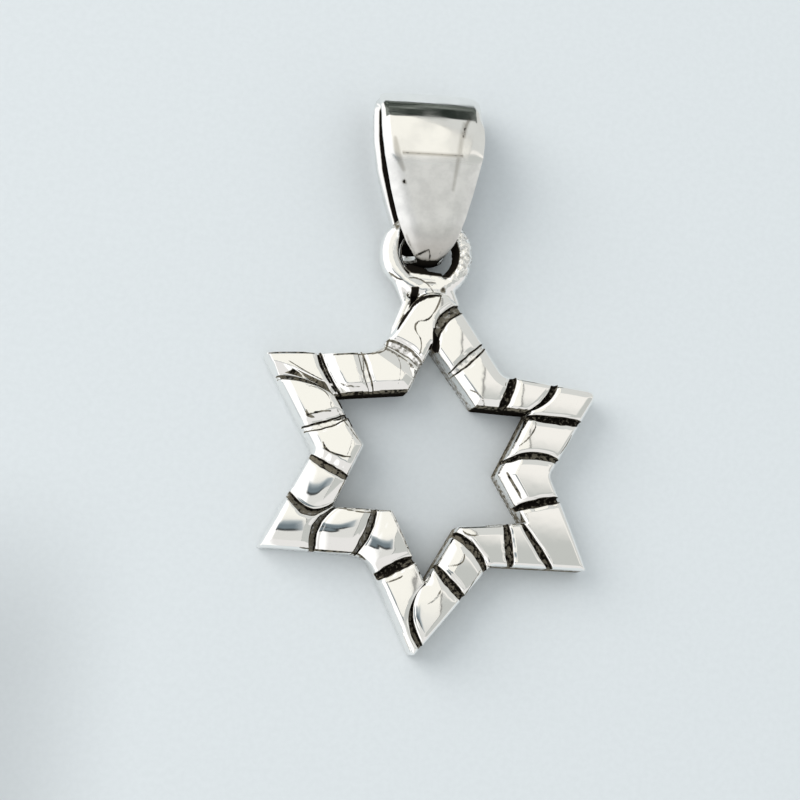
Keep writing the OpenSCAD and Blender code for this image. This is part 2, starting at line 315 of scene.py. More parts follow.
# Faint crease across the face: its place and width in corners of the side view, its middle and half
# length in half widths of the strap, and its blackness
CREASE_PLACE, CREASE_W, CREASE_MIDDLE, CREASE_HALF, CREASE_BLACK = 5.33, 0.0275, -0.05, 0.62, 0.54
# Share of the half width within which the inside of the strap is painted black as shade and its
# thickness is full
INSIDE_SHARE = 0.9
# Dullness of the inside of the strap and of its face below the crease
INSIDE_DULL, FACE_DULL = 0.1, 0.8
# Darkening of the face near the closed end, and the share of the end's darkening and painted shade on
# the strap's edges
END_DARKENING, EDGE_DARKENING = 0.42, 0.6
# Height above which a point is on the face, and that at which its seams are seen, as shares of the depth
FACE_FROM, BAIL_SEAM_Z = 0.55, 0.88
# Softness of those seams, in mm
BAIL_SEAM_SOFT = 0.10

# Scales of the noise in the silver and the paper, in waves per metre, and the roughness of oxide
SPECK_SCALE, MOTTLE_SCALE, PIT_SCALE, WAVE_SCALE = 5200, 5600, 9000, 900
PATCH_SCALE, CLOUD_SCALE, STREAK_SCALE, BAIL_WAVE_SCALE, PAPER_SCALE = 700, 1500, 4200, 800, 3600
SOOT_ROUGHNESS = 0.6

# Colours of the light tent and of the cards in it, as the silver mirrors them
TENT_BEHIND, TENT_AHEAD = (0.74, 0.74, 0.72), (0.97, 0.955, 0.89)
SIDE_GREY, SIDE_WARM, SIDE_FAR = (0.55, 0.565, 0.545), (0.93, 0.91, 0.87), (0.67, 0.68, 0.66)
SIDE_EDGE = (0.05, 0.05, 0.055)
NEAR_CARD, LEFT_CARD = (0.82, 0.81, 0.80), (1.15, 1.15, 1.15)
FOLD_DARK, FOLD_STREAK = (0.022, 0.028, 0.024), (0.22, 0.245, 0.22)
# Colour of the tent's light on the paper, and of the tent where the camera sees it past the paper
TENT_LIGHT, TENT_SEEN = (0.93, 0.98, 1.0), (0.74, 0.79, 0.81)
# Colours of the camera and its arm: below, above, along the lower edge and at the right end
ARM_LOW, ARM_HIGH = (0.17, 0.21, 0.235), (0.40, 0.45, 0.47)
ARM_EDGE, ARM_RIGHT = (0.045, 0.05, 0.05), (0.42, 0.46, 0.48)
# Points on each side of the card that stands for the camera, and its distance behind the lens in mm
CARD_STEPS, CARD_BEHIND = 17, 2

# Paper: half side and depth below the pendant in metres, and the shade of its darker mottling
PAPER_HALF, PAPER_DROP, PAPER_MOTTLE = 1.2, 0.00002, 0.972
# Soft shade on the paper inside the star, in metres: its middle, how far from it the shade starts and
# is full, and its strength
STAR_SHADE_AT = (-0.0003, -0.0058, 0)
STAR_SHADE_START, STAR_SHADE_FULL, STAR_SHADE = 0.0078, 0.003, 0.10
# The same far to the lower left, where it starts and is full in x and in y, and its strength
CORNER_SHADE_X, CORNER_SHADE_Y, CORNER_SHADE = (-0.012, -0.020), (-0.0055, -0.0165), 0.23
# Key light: its place and size in metres, its power and its colour
KEY_PLACE, KEY_SIZE, KEY_POWER, KEY_COLOUR = (-0.52, 0.24, 0.36), 0.56, 2.45, (1.0, 0.99, 0.97)


def length(name, description, mm, least=0):
    return FloatProperty(
        name=name, description=description, default=mm * MM, min=least * MM, subtype="DISTANCE",
        unit="LENGTH", precision=5)


def point(name, description, mm):
    return FloatVectorProperty(
        name=name, description=description, default=tuple(v * MM for v in mm), size=3, subtype="TRANSLATION",
        unit="LENGTH", precision=5)


def share(name, description, value):
    return FloatProperty(name=name, description=description, default=value, min=0, max=1, subtype="FACTOR")


def angle(name, description, degrees):
    return FloatProperty(name=name, description=description, default=math.radians(degrees), subtype="ANGLE")


def amount(name, description, value, least=0):
    return FloatProperty(name=name, description=description, default=value, min=least)


def seed(description, value):
    return IntProperty(name="Seed", description=description, default=value, min=0)


def colour(name, description, value):
    return FloatVectorProperty(
        name=name, description=description, default=value, size=3, min=0, max=1, subtype="COLOR")


class PendantBand(bpy.types.PropertyGroup):
    """Sizes of the grooved star band."""

    tip_r: length("Tips", "Distance from the star's middle to its six tips", 9.4)
    notch_r: length("Notches", "Distance from the star's middle to the notches between the tips", 5.75)
    hole_tip_r: length("Opening's corners", "Distance from the middle to the corners of the opening", 5.65)
    hole_notch_r: length("Opening's points", "Distance from the middle to the points in the opening", 3.4)
    height: length("Height", "Height of the band at its crown", 1.9)
    chamfer_w: length("Chamfer", "Width of the small chamfer along both edges", 0.12)
    chamfer_slope: amount("Chamfer slope", "Slope of that chamfer", 0.66)
    edge_r: length("Edge radius", "Radius of the edge between the top and the walls", 0.03)
    back_bevel: length("Back bevel", "Bevel round the flat back", 0.12)
    groove_depth: length("Groove depth", "Depth of a full groove", 0.4)
    groove_floor: share("Groove floor", "Share of a groove's width that is flat floor", 0.5)
    groove_taper: share("Groove taper", "Share of its width that a groove loses at its ends", 0.35)
    groove_wobble: share("Groove wobble", "Unevenness of the grooves' sides", 0.10)
    chatter: length("Chatter", "Roughness of the groove floors", 0.07)
    # a thin seam is partly oxide and partly painted dark reflection and shade
    seam_soft: length("Seam softness", "Width over which a thin seam of oxide fades out", 0.035)
    seed: seed("Seed of the grooves' uneven sides and of the chatter in them", 7)


class PendantRing(bpy.types.PropertyGroup):
    """Sizes of the ring and its solder."""

    ring_r: length("Ring radius", "Radius of the ring's centre line", 1.78)
    wire_r: length("Wire radius", "Radius of the ring's wire", 0.5)
    place: point("Place", "Ring's centre from the star's middle", (-0.98, 10.45, 1.25))
    lobe_r: length("Lobe radius", "Radius of the solder lobe", 0.36)
    fill_r: length("Fill radius", "Radius of the solder in the bottom of the hole", 0.42)
    voxel: length("Voxel", "Grain of the surface that blends the wire and the solder", 0.05)
    seed: seed("Seed of the rough cast surface", 3)


class PendantBail(bpy.types.PropertyGroup):
    """Sizes of the tapered bail."""

    length: length("Length", "Length from the fold to the closed end", 8.8)
    depth: length("Depth", "Depth at the fold", 3.5)
    width: length("Width", "Width of the strap at the fold", 5.15)
    strap_t: length("Thickness", "Thickness of the strap", 0.5)
    bevel_w: length("Border width", "Width of the rolled border along each side of the face", 0.95)
    bevel_drop: length("Border depth", "Depth of that border at the edge", 0.25)
    dome: length("Dome", "Rise of the strap's middle over the edges of its face", 0.05)
    edge_thinning: length("Edge thinning", "Thickness that the strap loses at its two edges", 0.22)
    turn: angle("Turn", "Turn against the star's axis", 5)
    foot_y: length("Closed end", "Distance from the star's middle to the closed end", 9.92)


class PendantFinish(bpy.types.PropertyGroup):
    """Colours of the silver and its oxide, whose black also paints shade and dark reflections."""

    silver: colour("Silver", "Colour of the polished silver", (0.955, 0.95, 0.93))
    dull: colour("Dull silver", "Colour of the worn patches on the bail's face", (0.62, 0.62, 0.61))
    # also the colour of the painted shade and dark reflections on the silver
    oxide_and_shade: colour("Oxide", "Colour of the blackened grooves", (0.012, 0.010, 0.008))
    oxide_worn: colour("Worn oxide", "Colour where the oxide has rubbed thin", (0.22, 0.195, 0.15))
    polish: share("Polish roughness", "Roughness of the polished silver", 0.05)
    satin: share("Satin roughness", "Roughness of the patches on the bail", 0.16)
    matt: share("Matt roughness", "Roughness of the bail's face below its crease", 0.42)


class PendantStage(bpy.types.PropertyGroup):
    """Floor, light and camera."""

    paper: colour("Paper", "Colour of the paper floor", (0.80, 0.83, 0.845))
    key: amount("Key light", "Strength of the soft light from the upper left", 1.0)
    ambient: amount("Ambient", "Strength of the light from all round", 0.735)
    distance: length("Camera distance", "Distance from the camera to its aim", 85)
    aim: point("Aim", "Point on the floor that the camera looks at", (-1.332, -1.547, 0))
    lean_x: angle("Lean left", "Lean of the camera to the left", 10)
    lean_y: angle("Lean down", "Lean of the camera towards the tip", 10.3)
    roll: angle("Roll", "Roll of the camera", -5)
    card_w: length("Camera width", "Half width of the camera and its arm, as the silver mirrors them", 30)
    card_h: length("Camera height", "Half height of the camera and its arm", 9.5)
    card_x: length("Camera shift", "Shift of the arm's middle to the right of the lens", 4, least=-50)
    card_bow: length("Camera bow", "Rise of the arm's left end", 11)
    lens: amount("Lens", "Focal length over a 36 mm sensor", 76.5, least=1)


def in_mm(group, *names):
    """Lengths of a property group in mm, by name."""
    return {name: getattr(group, name) / MM for name in names}


def fade(value, start, end):
    """0 at the start and 1 at the end, in a straight line between them."""
    return np.clip((value - start) / (end - start), 0, 1)


def side_at(outline, place):
    """Points at places along a closed outline of straight sides. A place is a corner's number and a share."""
    place = np.asarray(place, float)
    start = np.floor(place).astype(int)
    part = (place - start)[..., None]
    return outline[start % len(outline)] * (1 - part) + outline[(start + 1) % len(outline)] * part


def rounded_at(outline, soft, place):
    """The same, with each corner rounded over the given share of its two sides."""
    place = np.asarray(place, float)
    corner = np.floor(place + 0.5).astype(int)
    reach = soft[corner % len(outline)]
    turn = fade(place, corner - reach, corner + reach)[..., None]
    before, tip, after = (side_at(outline, corner + step) for step in (-reach, 0, reach))
    curve = before * (1 - turn) ** 2 + 2 * tip * turn * (1 - turn) + after * turn ** 2
    return np.where((np.abs(place - corner) < reach)[..., None], curve, side_at(outline, place))


def apart(outline, start, end):
    """Distance between two places of an outline."""
    return np.linalg.norm(side_at(outline, end) - side_at(outline, start))


def camera_axes(stage):
    back = Vector((-math.tan(stage.lean_x), -math.tan(stage.lean_y), 1)).normalized()
    up = Vector((math.sin(stage.roll), math.cos(stage.roll), 0))
    right = up.cross(back).normalized()
    return right, back.cross(right), back


def picture_spot(stage, spot, height):
    """The point at a height above the floor that a spot of the photo shows, in mm."""
    right, up, back = camera_axes(stage)
    eye = Vector(stage.aim) + back * stage.distance
    across, down = (np.asarray(spot) / PHOTO_SIDE - 0.5) * SENSOR_W / stage.lens
    ray = right * across - up * down - back
    return np.array((eye + ray * ((height * MM - eye.z) / ray.z))[:2]) / MM


def star_outlines(band):
    """Corners of the outer edge and of the opening, in mm from the star's middle."""
    step = np.arange(CORNER_COUNT)
    is_tip = step % 2 == 0

    def ring_of(tip, notch, further, turned):
        radius = np.where(is_tip, tip, notch) / MM + further
        turn = np.radians(step * 360 / CORNER_COUNT + turned)
        return np.stack([np.sin(turn), np.cos(turn)], -1) * radius[:, None]

    outer = ring_of(band.tip_r, band.notch_r, CORNERS[:, 0], CORNERS[:, 1])
    inner = ring_of(band.hole_tip_r, band.hole_notch_r, CORNERS[:, 2], CORNERS[:, 3])
    return outer, inner


def row_shift(band):
    """Shift in mm that puts the star, drawn round its own middle, where the frame's solid of it lies."""
    outer, _ = star_outlines(band)
    edge = rounded_at(outer, CORNERS[:, 4], np.linspace(0, CORNER_COUNT, FINE_STEPS + 1))
    low = np.array(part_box("star")[0])[:2] / MM
    return low - edge.min(0)


def band_stations(band):
    """Stations round the band. Columns: outer place, inner place, bow, groove number, place in the groove."""
    outer, inner = star_outlines(band)
    sections = [[i, i, CORNERS[i, 5], -1, 0] for i in range(CORNER_COUNT)]
    for number, row in enumerate(GROOVES):
        bar = int(row[0])
        half_out = row[2] / 2 / apart(outer, bar, bar + 1)
        half_in = row[3] / 2 / apart(inner, bar, bar + 1)
        for s in GROOVE_STEPS:
            sections.append([row[0] + s * half_out, row[1] + s * half_in, row[5], number, s])
    sections.sort(key=lambda section: round(section[0] + section[1], 6))
    sections = np.array(sections, float)
    closing = sections[0] + [CORNER_COUNT, CORNER_COUNT, 0, 0, 0]
    rows = []
    for here, ahead in zip(sections, np.vstack([sections[1:], closing])):
        rows.append(here)
        if here[3] >= 0 and ahead[3] == here[3]:
            continue
        gap = max(apart(outer, here[0], ahead[0]), apart(inner, here[1], ahead[1]))
        parts = max(1, math.ceil(gap / SECTION_STEP))
        for k in range(1, parts):
            middle = here + (ahead - here) * k / parts
            rows.append([*middle[:3], -1, 0])
    return np.array(rows)


def nearest_edge(points, edge):
    """Distance from each point to a closed polyline, in mm."""
    best = np.full(len(points), np.inf)
    for start, step in zip(edge[:-1], np.diff(edge, axis=0)):
        t = np.clip(((points - start) @ step) / (step @ step), 0, 1)
        best = np.minimum(best, ((points - start - t[:, None] * step) ** 2).sum(1))
    return np.sqrt(best)


def bevel(distance, width, drop, power):
    return drop * (1 - np.clip(distance / width, 0, 1)) ** power


def rounded_edge(distance, radius):
    inside = np.clip(radius - distance, 0, radius)
    return radius - np.sqrt(radius ** 2 - inside ** 2)


def segment_of(rows):
    """Number of the groove that each station is in, or else of the last one before it."""
    count = len(rows)
    numbers = np.full(count, -1)
    current = len(GROOVES) - 1
    last = np.flatnonzero(rows[:, 3] == current)[-1]
    for step in range(1, count + 1):
        i = (last + step) % count
        if rows[i, 3] >= 0:
            current = int(rows[i, 3])
        numbers[i] = current
    return numbers


def on_curve(start, middle, end, parts=16):
    """Points of the curve through three points."""
    turn = np.linspace(0, 1, parts + 1)[:, None]
    pull = 2 * middle - (start + end) / 2
    return start * (1 - turn) ** 2 + 2 * pull * turn * (1 - turn) + end * turn ** 2


def seam_ink(points, table, stage, height, soft):
    """Oxide and painted shade of a table's thin seams, at points of a surface at the given height in mm."""
    ink = np.zeros(len(points))
    for row in table:
        half, black = row[6:]
        line = on_curve(*(picture_spot(stage, spot, height) for spot in row[:6].reshape(3, 2)))
        reach = half + soft
        near = np.flatnonzero(((points > line.min(0) - reach) & (points < line.max(0) + reach)).all(1))
        best = np.full(len(near), FAR)
        for number, (a, b) in enumerate(zip(line[:-1], line[1:])):
            step = b - a
            turn = np.clip(((points[near] - a) @ step) / (step @ step), 0, 1)
            away = np.linalg.norm(points[near] - a - turn[:, None] * step, axis=1)
            along = (number + turn) / (len(line) - 1)
            best = np.minimum(best, away + half * SEAM_TAPER * (2 * along - 1) ** 2)
        ink[near] = np.maximum(ink[near], black * np.clip((reach - best) / soft, 0, 1))
    return ink


def band_plan(band, rows, outer, inner):
    """The sections of the band's top seen from above, in mm, and the way from the outer edge inwards."""
    start = rounded_at(outer, CORNERS[:, 4], rows[:, 0])
    across = rounded_at(inner, HOLE_SOFT, rows[:, 1]) - start
    width = np.linalg.norm(across, axis=1)[:, None]
    inward = across / width
    along = np.stack([-inward[:, 1], inward[:, 0]], -1)
    edge = EDGE_STEPS / width
    middle = np.linspace(0, 1, MIDDLE_STEPS + 2)[1:-1]
    middle = edge[:, -1:] * (1 - middle) + (1 - edge[:, -1:]) * middle
    steps = np.concatenate([edge, middle, 1 - edge[:, ::-1]], 1)
    bow = rows[:, 2, None] * 4 * steps * (1 - steps)
    plan = start[:, None] + across[:, None] * steps[..., None] + along[:, None] * bow[..., None]
    # a groove narrows towards its ends, and its two sides waver
    luck = np.random.RandomState(band.seed)
    for k in range(len(GROOVES)):
        mine = np.flatnonzero(rows[:, 3] == k)
        centre = plan[mine[len(mine) // 2]].copy()
        part = steps[mine[0]]
        waver = [np.interp(part, np.linspace(0, 1, 10), luck.uniform(-1, 1, 10)) for _ in range(2)]
        taper = 1 - band.groove_taper * np.abs(2 * part - 1) ** 2.5
        for i in mine:
            factor = taper + band.groove_wobble * waver[int(rows[i, 4] > 0)]
            plan[i] = centre + (plan[i] - centre) * factor[:, None]
    return plan, inward


def groove_runs(plan, in_groove):
    """Distance run along the band since the last groove, and left to the next one, at each point."""
    count = len(plan)
    hop = np.linalg.norm(np.roll(plan, -1, 0) - plan, axis=2)
    run_back, run_on = np.zeros_like(hop), np.zeros_like(hop)
    first = int(np.argmax(in_groove))
    for step in range(1, 2 * count):
        i = (first + step) % count
        if not in_groove[i]:
            run_back[i] = run_back[i - 1] + hop[i - 1]
        j = (first - step) % count
        if not in_groove[j]:
            run_on[j] = run_on[(j + 1) % count] + hop[j]
    return run_back, run_on


def top_heights(band, rows, plan, from_outer, from_inner):
    """Height of the top at each point, in mm: rounded edges, and the hand polish of each segment."""
    mm = in_mm(band, "height", "chamfer_w", "edge_r", "back_bevel")
    count = len(rows)
    height = np.full(from_outer.shape, mm["height"])
    for distance in (from_outer, from_inner):
        height -= rounded_edge(distance, mm["edge_r"])
        height -= band.chamfer_slope * np.clip(mm["chamfer_w"] - distance, 0, None)
    in_groove = rows[:, 3] >= 0
    run_back, run_on = groove_runs(plan, in_groove)
    number = segment_of(rows)
    for k, (slope_x, slope_y, curve, *borders, soft, reach) in enumerate(POLISH):
        mine = (number == k) & ~in_groove
        flat = plan[mine].reshape(-1, 2)
        here = plan[mine] - (flat.min(0) + flat.max(0)) / 2
        pillow = here[..., 0] * slope_x + here[..., 1] * slope_y - curve / 2 * (here ** 2).sum(-1)
        height[mine] += pillow - pillow.max()
        for distance, border in zip((from_outer, from_inner, run_back, run_on), borders):
            height[mine] -= bevel(distance[mine], border, reach * border / soft, soft)
    # inside a groove the height runs straight from one lip to the other
    for k in range(len(GROOVES)):
        mine = np.flatnonzero(rows[:, 3] == k)
        part = (rows[mine, 4] + 1)[:, None] / 2
        height[mine] = height[mine[0] - 1] * (1 - part) + height[(mine[-1] + 1) % count] * part
    return np.clip(height, mm["back_bevel"] + LEAST_WALL, mm["height"])


def closed_sections(plan, height, inward, back_bevel):
    """Points round each section: top, wall of the opening, back, outer wall."""
    edge_out, edge_in = plan[:, 0], plan[:, -1]

    def wall(edge, top, steps):
        z = top[:, None] * (1 - steps) + back_bevel * steps
        return np.concatenate([np.repeat(edge[:, None], len(steps), 1), z[..., None]], 2)

    back = np.stack([edge_in - inward * back_bevel, edge_out + inward * back_bevel], 1)
    return np.concatenate([
        np.concatenate([plan, height[..., None]], 2),
        wall(edge_in, height[:, -1], WALL_STEPS),
        np.concatenate([back, np.zeros((len(plan), 2, 1))], 2),
        wall(edge_out, height[:, 0], WALL_STEPS[::-1])], 1)


def band_oxide_and_shade(band, rows, from_outer, from_inner, seams):
    """Oxide and painted dark reflection outside the grooves: black edges, thin seams and the two walls."""
    bar = np.floor((rows[:, 0] + rows[:, 1]) / 2).astype(int) % CORNER_COUNT
    half = CORNER_COUNT / 2
    from_tip = (rows[:, 0] + half) % CORNER_COUNT - half
    by_ring = ((from_tip > RIM_FROM) & (from_tip < RIM_TO))[:, None] & (from_outer < RIM_W)
    over_black = (WALLS[bar, 0] > WALL_LIMIT)[:, None] & (from_inner < band.chamfer_w / MM)
    top = np.maximum(np.where(by_ring | over_black, EDGE_BLACK, 0), seams)
    walls = np.repeat(WALLS[bar], len(WALL_STEPS) + 1, 1)
    return np.concatenate([top, walls], 1)


def band_mesh(band, stage):
    """The band before its grooves are cut, with the attributes that the cutting reads."""
    outer, inner = star_outlines(band)
    rows = band_stations(band)
    plan, inward = band_plan(band, rows, outer, inner)
    count, wide = plan.shape[:2]
    flat = plan.reshape(-1, 2)
    places = np.linspace(0, CORNER_COUNT, OUTLINE_STEPS + 1)
    from_outer = nearest_edge(flat, rounded_at(outer, CORNERS[:, 4], places)).reshape(count, wide)
    from_inner = nearest_edge(flat, rounded_at(inner, HOLE_SOFT, places)).reshape(count, wide)
    from_outer[:, 0] = 0
    from_inner[:, -1] = 0
    height = top_heights(band, rows, plan, from_outer, from_inner)
    points = closed_sections(plan, height, inward, band.back_bevel / MM)
    seams = seam_ink(
        flat + row_shift(band), SEAMS, stage, band.height / MM - SEAM_DROP, band.seam_soft / MM)
    sides = points.shape[1]
    number = rows[:, 3].astype(int)
    in_groove = number >= 0

    def all_round(values, elsewhere=0.0):
        return np.repeat(np.where(in_groove, values, elsewhere)[:, None], sides, 1)

    return points.reshape(-1, 3), loop_faces(count, sides, turned=True), {
        "groove_place": all_round(np.abs(rows[:, 4]), FAR),
        "groove_share": all_round(GROOVES[number, 4]),
        "floor_black": all_round(GROOVES[number, 6]),
        "lip_black": all_round(GROOVES[number, 7]),
        "top": np.tile(np.arange(sides) < wide, (count, 1)),
        "wall_black": band_oxide_and_shade(band, rows, from_outer, from_inner, seams.reshape(count, wide))}


def loop_faces(count, sides, turned=False):
    """Quads of a closed tube through a loop of sections, turned over where the sections run the other way."""
    k, j = np.meshgrid(np.arange(count), np.arange(sides), indexing="ij")
    here, ahead, beside = k * sides, (k + 1) % count * sides, (j + 1) % sides
    quads = np.stack([here + j, ahead + j, ahead + beside, here + beside], -1).reshape(-1, 4)
    return quads[:, ::-1] if turned else quads


def new_object(name, points, faces, attributes=None):
    mesh = bpy.data.meshes.new(name)
    mesh.from_pydata(np.asarray(points).tolist(), [], [[int(i) for i in face] for face in faces])
    for key, values in (attributes or {}).items():
        add_attribute(mesh, key, values)
    mesh.polygons.foreach_set("use_smooth", [True] * len(mesh.polygons))
    mesh.update()
    made = bpy.data.objects.new(name, mesh)
    bpy.context.scene.collection.objects.link(made)
    return made


def add_attribute(mesh, name, values):
    layer = mesh.attributes.new(name, "FLOAT", "POINT")
    layer.data.foreach_set("value", np.asarray(values, np.float32).ravel())


def keep_result(obj):
    """Makes what the modifiers show the object's plain mesh, and removes them."""
    mesh = bpy.data.meshes.new_from_object(obj.evaluated_get(bpy.context.evaluated_depsgraph_get()))
    obj.modifiers.clear()
    obj.data = mesh
    return mesh


def settle(obj, node):
    """Puts a finished piece in the frame."""
    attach(obj, "root")
    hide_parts(node)


def put(tree, kind, inputs=None, **settings):
    """Adds a node, sets its settings, and links or fills its inputs."""
    made = tree.nodes.new(kind)
    for key, value in settings.items():
        setattr(made, key, value)
    for key, value in (inputs or {}).items():
        if isinstance(value, bpy.types.NodeSocket):
            tree.links.new(value, made.inputs[key])
        else:
            made.inputs[key].default_value = value
    return made


def calc(tree, operation, *values, clamp=False):
    inputs = dict(enumerate(values))
    return put(tree, "ShaderNodeMath", inputs, operation=operation, use_clamp=clamp).outputs[0]


def plus(tree, first, second):
    return calc(tree, "ADD", first, second)


def minus(tree, first, second):
    return calc(tree, "SUBTRACT", first, second)


def times(tree, first, second):
    return calc(tree, "MULTIPLY", first, second)


def ramp(tree, value, low, high):
    """Smoothly from 0 below low to 1 above high, or the other way round when low is above high."""
    turned = low > high
    return put(tree, "ShaderNodeMapRange", {
        "Value": value, "From Min": min(low, high), "From Max": max(low, high),
        "To Min": 1.0 if turned else 0.0, "To Max": 0.0 if turned else 1.0},
        interpolation_type="SMOOTHSTEP", clamp=True).outputs["Result"]


def mix_colour(tree, factor, first, second):
    node = put(tree, "ShaderNodeMix", data_type="RGBA")
    for socket, value in ((node.inputs[0], factor), (node.inputs[6], first), (node.inputs[7], second)):
        if isinstance(value, bpy.types.NodeSocket):
            tree.links.new(value, socket)
        else:
            socket.default_value = (*value, 1) if hasattr(value, "__len__") and len(value) == 3 else value
    return node.outputs[2]


def mix_value(tree, factor, first, second):
    return put(tree, "ShaderNodeMix", {0: factor, 2: first, 3: second}, data_type="FLOAT").outputs[0]


def noise(tree, scale, detail, vector=None, roughness=0.5):
    where = vector or put(tree, "ShaderNodeTexCoord").outputs["Object"]
    return put(tree, "ShaderNodeTexNoise", {
        "Vector": where, "Scale": scale, "Detail": detail, "Roughness": roughness}).outputs["Fac"]


def bump(tree, strength, distance, height, over=None):
    inputs = {"Strength": strength, "Distance": distance, "Height": height}
    if over:
        inputs["Normal"] = over
    return put(tree, "ShaderNodeBump", inputs).outputs[0]


def read(tree, name):
    """A piece's own attribute in a material."""
    return put(tree, "ShaderNodeAttribute", attribute_name=name).outputs["Fac"]


def new_material(name, base, roughness, metallic=1.0):
    material = bpy.data.materials.new(name)
    material.use_nodes = True
    material.diffuse_color = (*base, 1)
    shader = material.node_tree.nodes["Principled BSDF"]
    shader.inputs["Base Color"].default_value = (*base, 1)
    shader.inputs["Metallic"].default_value = metallic
    shader.inputs["Roughness"].default_value = roughness
    return material, material.node_tree, shader


def specked(tree, oxide_and_shade, spread, low, high):
    """Breaks an amount of oxide and painted shade up into bare and black specks."""
    specks = minus(tree, noise(tree, SPECK_SCALE, 5), 0.5)
    return ramp(tree, plus(tree, oxide_and_shade, times(tree, specks, spread)), low, high)


def coat(tree, shader, black, silver, black_coat, roughness):
    """Covers silver with a rough black coat that is no metal: oxide, painted shade and dark reflections."""
    tree.links.new(mix_colour(tree, black, silver, black_coat), shader.inputs["Base Color"])
    tree.links.new(mix_value(tree, black, roughness, SOOT_ROUGHNESS), shader.inputs["Roughness"])
    tree.links.new(minus(tree, 1.0, black), shader.inputs["Metallic"])
    shader.inputs["Specular IOR Level"].default_value = 0.0


def grooved_silver(finish):
    """Polished silver with mottled black oxide, painted shade and dark reflections, as its attribute says."""
    material, tree, shader = new_material("grooved_silver", finish.silver, finish.polish)
    oxide_and_shade = read(tree, "oxide_and_shade")
    black = specked(tree, oxide_and_shade, 0.9, 0.32, 0.62)
    # thin oxide wears to brown, and where there is most of it, less of it is worn
    bare = minus(tree, 0.9, oxide_and_shade)
    thin = calc(tree, "MINIMUM", times(tree, bare, 0.4), bare)
    worn = ramp(tree, plus(tree, noise(tree, MOTTLE_SCALE, 4), thin), 0.42, 0.58)
    black_coat = mix_colour(tree, worn, finish.oxide_and_shade, finish.oxide_worn)
    coat(tree, shader, black, finish.silver, black_coat, finish.polish)
    waves = bump(tree, 0.6, 0.000009, noise(tree, WAVE_SCALE, 2))
    pits = bump(tree, times(tree, black, 0.6), 0.00002, noise(tree, PIT_SCALE, 4), waves)
    tree.links.new(pits, shader.inputs["Normal"])
    return material


def groove_tree(material):
    """Geometry Nodes that cut the grooves into the band and note where oxide and painted shade stay."""
    tree = bpy.data.node_groups.new("Cut grooves", "GeometryNodeTree")
    face = tree.interface
    face.new_socket("Geometry", in_out="INPUT", socket_type="NodeSocketGeometry")
    for name in ("Groove Depth", "Groove Floor", "Chatter"):
        face.new_socket(name, in_out="INPUT", socket_type="NodeSocketFloat")
    face.new_socket("Seed", in_out="INPUT", socket_type="NodeSocketInt")
    face.new_socket("Geometry", in_out="OUTPUT", socket_type="NodeSocketGeometry")
    given = put(tree, "NodeGroupInput").outputs

    def named(name):
        kind = "GeometryNodeInputNamedAttribute"
        return put(tree, kind, {"Name": name}, data_type="FLOAT").outputs["Attribute"]

    place, depth_share, top = named("groove_place"), named("groove_share"), named("top")
    side = calc(tree, "DIVIDE", minus(tree, 1.0, place), minus(tree, 1.0, given["Groove Floor"]))
    depth = times(tree, times(tree, ramp(tree, side, 0.0, 1.0), top), depth_share)
    rough = put(tree, "ShaderNodeTexNoise", {"W": given["Seed"], "Scale": 4.5, "Detail": 4.0},
                noise_dimensions="4D").outputs["Fac"]
    chips = times(tree, times(tree, minus(tree, rough, 0.5), given["Chatter"]), depth_share)
    offset_z = times(tree, depth, minus(tree, times(tree, chips, 2.0), given["Groove Depth"]))
    offset = put(tree, "ShaderNodeCombineXYZ", {"Z": offset_z}).outputs[0]
    moved = put(tree, "GeometryNodeSetPosition", {"Geometry": given["Geometry"], "Offset": offset})
    lips = times(tree, ramp(tree, place, 1.02, 0.86), named("lip_black"))
    tone = mix_value(tree, ramp(tree, place, 0.62, 0.46), lips, named("floor_black"))
    oxide_and_shade = calc(tree, "MAXIMUM", times(tree, tone, top), named("wall_black"))
    stored = put(tree, "GeometryNodeStoreNamedAttribute", {
        "Geometry": moved.outputs[0], "Name": "oxide_and_shade", "Value": oxide_and_shade}, data_type="FLOAT", domain="POINT")
    real = put(tree, "GeometryNodeRealizeInstances", {"Geometry": stored.outputs[0]})
    painted = put(tree, "GeometryNodeSetMaterial", {"Geometry": real.outputs[0], "Material": material})
    put(tree, "NodeGroupOutput", {"Geometry": painted.outputs[0]})
    return tree


def run_tree(obj, tree, values):
    """Sets a tree's named inputs on a modifier, and keeps the result as a plain mesh."""
    modifier = obj.modifiers.new(tree.name, "NODES")
    modifier.node_group = tree
    for item in tree.interface.items_tree:
        if item.item_type == "SOCKET" and item.in_out == "INPUT" and item.name in values:
            modifier[item.identifier] = values[item.name]
    obj.update_tag()
    return keep_result(obj)


class PENDANT_OT_band(bpy.types.Operator):
    """Build the grooved star band"""

    bl_idname = "pendant.band"
    bl_label = "Star Band"

    def execute(self, context):
        band = context.scene.pendant_band
        points, faces, attributes = band_mesh(band, context.scene.pendant_stage)
        points[:, :2] += row_shift(band)
        made = new_object("star_band", points, faces, attributes)
        mesh = run_tree(made, groove_tree(grooved_silver(context.scene.pendant_finish)), {
            "Groove Depth": band.groove_depth / MM, "Groove Floor": band.groove_floor,
            "Chatter": band.chatter / MM, "Seed": band.seed})
        mesh.transform(Matrix.Scale(MM, 4))
        for name in attributes:
            mesh.attributes.remove(mesh.attributes[name])
        settle(made, "star")
        return {"FINISHED"}


def torus(major, minor, around=96, tube=32):
    turn, roll = np.meshgrid(
        np.arange(around) * 2 * math.pi / around, np.arange(tube) * 2 * math.pi / tube, indexing="ij")
    radius = major + minor * np.cos(roll)
    points = np.stack([radius * np.cos(turn), radius * np.sin(turn), minor * np.sin(roll)], -1)
    return points.reshape(-1, 3), loop_faces(around, tube)


